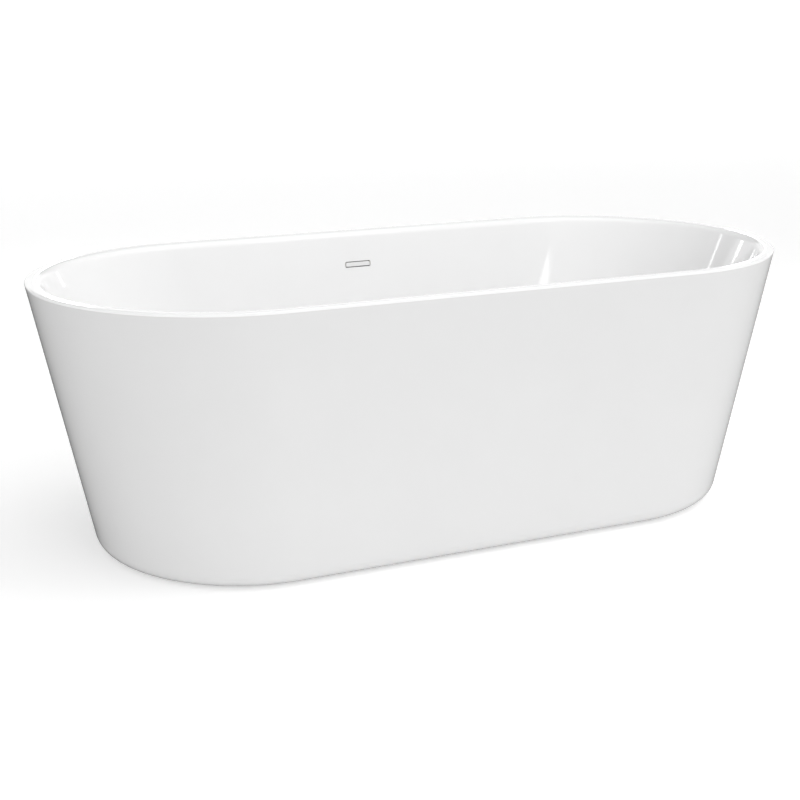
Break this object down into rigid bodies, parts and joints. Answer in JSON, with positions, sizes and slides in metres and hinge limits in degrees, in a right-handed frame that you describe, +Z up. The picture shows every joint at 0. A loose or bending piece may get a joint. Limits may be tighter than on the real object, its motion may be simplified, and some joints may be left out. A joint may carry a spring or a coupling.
{
  "type": "freestanding bathtub",
  "caption": "Freestanding double-ended bathtub with a flat-sided round-ended tapering skirt, thin rim, slot overflow, click-clack waste and levelling feet.",
  "frame": {"origin": "on the floor under the middle of the bath, at the undersides of the levelling feet", "axes": "+X along the bath's length, +Y towards the wall with the overflow, +Z up"},
  "size_m": [1.6996, 0.8, 0.58],
  "materials": {
    "acrylic_skirt": "gloss white acrylic",
    "acrylic_basin": "gloss white acrylic",
    "adhesive": "cured white adhesive",
    "board": "resin-sealed board",
    "frame_steel": "satin black powder coat",
    "black_plastic": "moulded",
    "zinc_steel": "zinc plated",
    "drain_chrome": "polished",
    "rubber_gasket": "moulded",
    "brass_cartridge": "turned",
    "spring_steel": "drawn wire",
    "waste_plastic": "moulded",
    "overflow_white": "gloss white",
    "hose_plastic": "corrugated",
    "block_wood": "sawn"
  },
  "bodies": {
    "bath": {"outer_skirt": "acrylic_skirt", "basin": "acrylic_basin", "rim_adhesive": "adhesive", "base_board": "board", "frame_rail_front": "frame_steel", "frame_rail_back": "frame_steel", "frame_crossbar_left": "frame_steel", "frame_crossbar_right": "frame_steel", "rail_end_caps": "black_plastic", "crossbar_end_caps": "black_plastic", "board_screws": "zinc_steel", "weld_nuts": "zinc_steel", "lock_nuts": "zinc_steel", "bracket_screws": "zinc_steel", "drain_flange": "drain_chrome", "drain_upper_gasket": "rubber_gasket", "drain_lower_gasket": "rubber_gasket", "plug_cartridge": "brass_cartridge", "waste_body": "waste_plastic", "outlet_pipe": "waste_plastic", "outlet_nut": "waste_plastic", "overflow_cover": "overflow_white", "overflow_gasket": "rubber_gasket", "overflow_body": "waste_plastic", "overflow_hose": "hose_plastic", "hose_clips": "zinc_steel", "skirt_block_1": "block_wood", "skirt_bracket_1": "zinc_steel", "skirt_block_2": "block_wood", "skirt_bracket_2": "zinc_steel", "skirt_block_3": "block_wood", "skirt_bracket_3": "zinc_steel", "skirt_block_4": "block_wood", "skirt_bracket_4": "zinc_steel"},
    "plug": {"plug_cap": "drain_chrome", "plug_seal": "rubber_gasket", "plug_stem": "brass_cartridge", "plug_spring": "spring_steel"},
    "pad_1": {"foot_pad_1": "black_plastic"},
    "stud_1": {"foot_stud_1": "zinc_steel"},
    "pad_2": {"foot_pad_2": "black_plastic"},
    "stud_2": {"foot_stud_2": "zinc_steel"},
    "pad_3": {"foot_pad_3": "black_plastic"},
    "stud_3": {"foot_stud_3": "zinc_steel"},
    "pad_4": {"foot_pad_4": "black_plastic"},
    "stud_4": {"foot_stud_4": "zinc_steel"}
  },
  "joints": [
    {"name": "plug_press", "type": "slide", "parent": "bath", "child": "plug", "axis": [0, 0, 1], "range_m": [-0.009, 0], "stiffness_N_per_m": 600, "springref_m": 0.004, "deforming": ["plug_spring"]},
    {"name": "foot_1_level", "type": "slide", "parent": "bath", "child": "pad_1", "axis": [0, 0, -1], "range_m": [-0.002, 0.015]},
    {"name": "foot_1_turn", "type": "hinge", "parent": "pad_1", "child": "stud_1", "pos_m": [-0.36, -0.215, 0.017], "axis": [0, 0, 1], "range_deg": [-3090, 412]},
    {"name": "foot_2_level", "type": "slide", "parent": "bath", "child": "pad_2", "axis": [0, 0, -1], "range_m": [-0.002, 0.015]},
    {"name": "foot_2_turn", "type": "hinge", "parent": "pad_2", "child": "stud_2", "pos_m": [-0.36, 0.215, 0.017], "axis": [0, 0, 1], "range_deg": [-3090, 412]},
    {"name": "foot_3_level", "type": "slide", "parent": "bath", "child": "pad_3", "axis": [0, 0, -1], "range_m": [-0.002, 0.015]},
    {"name": "foot_3_turn", "type": "hinge", "parent": "pad_3", "child": "stud_3", "pos_m": [0.36, -0.215, 0.017], "axis": [0, 0, 1], "range_deg": [-3090, 412]},
    {"name": "foot_4_level", "type": "slide", "parent": "bath", "child": "pad_4", "axis": [0, 0, -1], "range_m": [-0.002, 0.015]},
    {"name": "foot_4_turn", "type": "hinge", "parent": "pad_4", "child": "stud_4", "pos_m": [0.36, 0.215, 0.017], "axis": [0, 0, 1], "range_deg": [-3090, 412]}
  ],
  "couplings": [
    {"joint": "foot_1_turn", "follows": "foot_1_level", "rad_per_m": -3590.4},
    {"joint": "foot_2_turn", "follows": "foot_2_level", "rad_per_m": -3590.4},
    {"joint": "foot_3_turn", "follows": "foot_3_level", "rad_per_m": -3590.4},
    {"joint": "foot_4_turn", "follows": "foot_4_level", "rad_per_m": -3590.4}
  ]
}
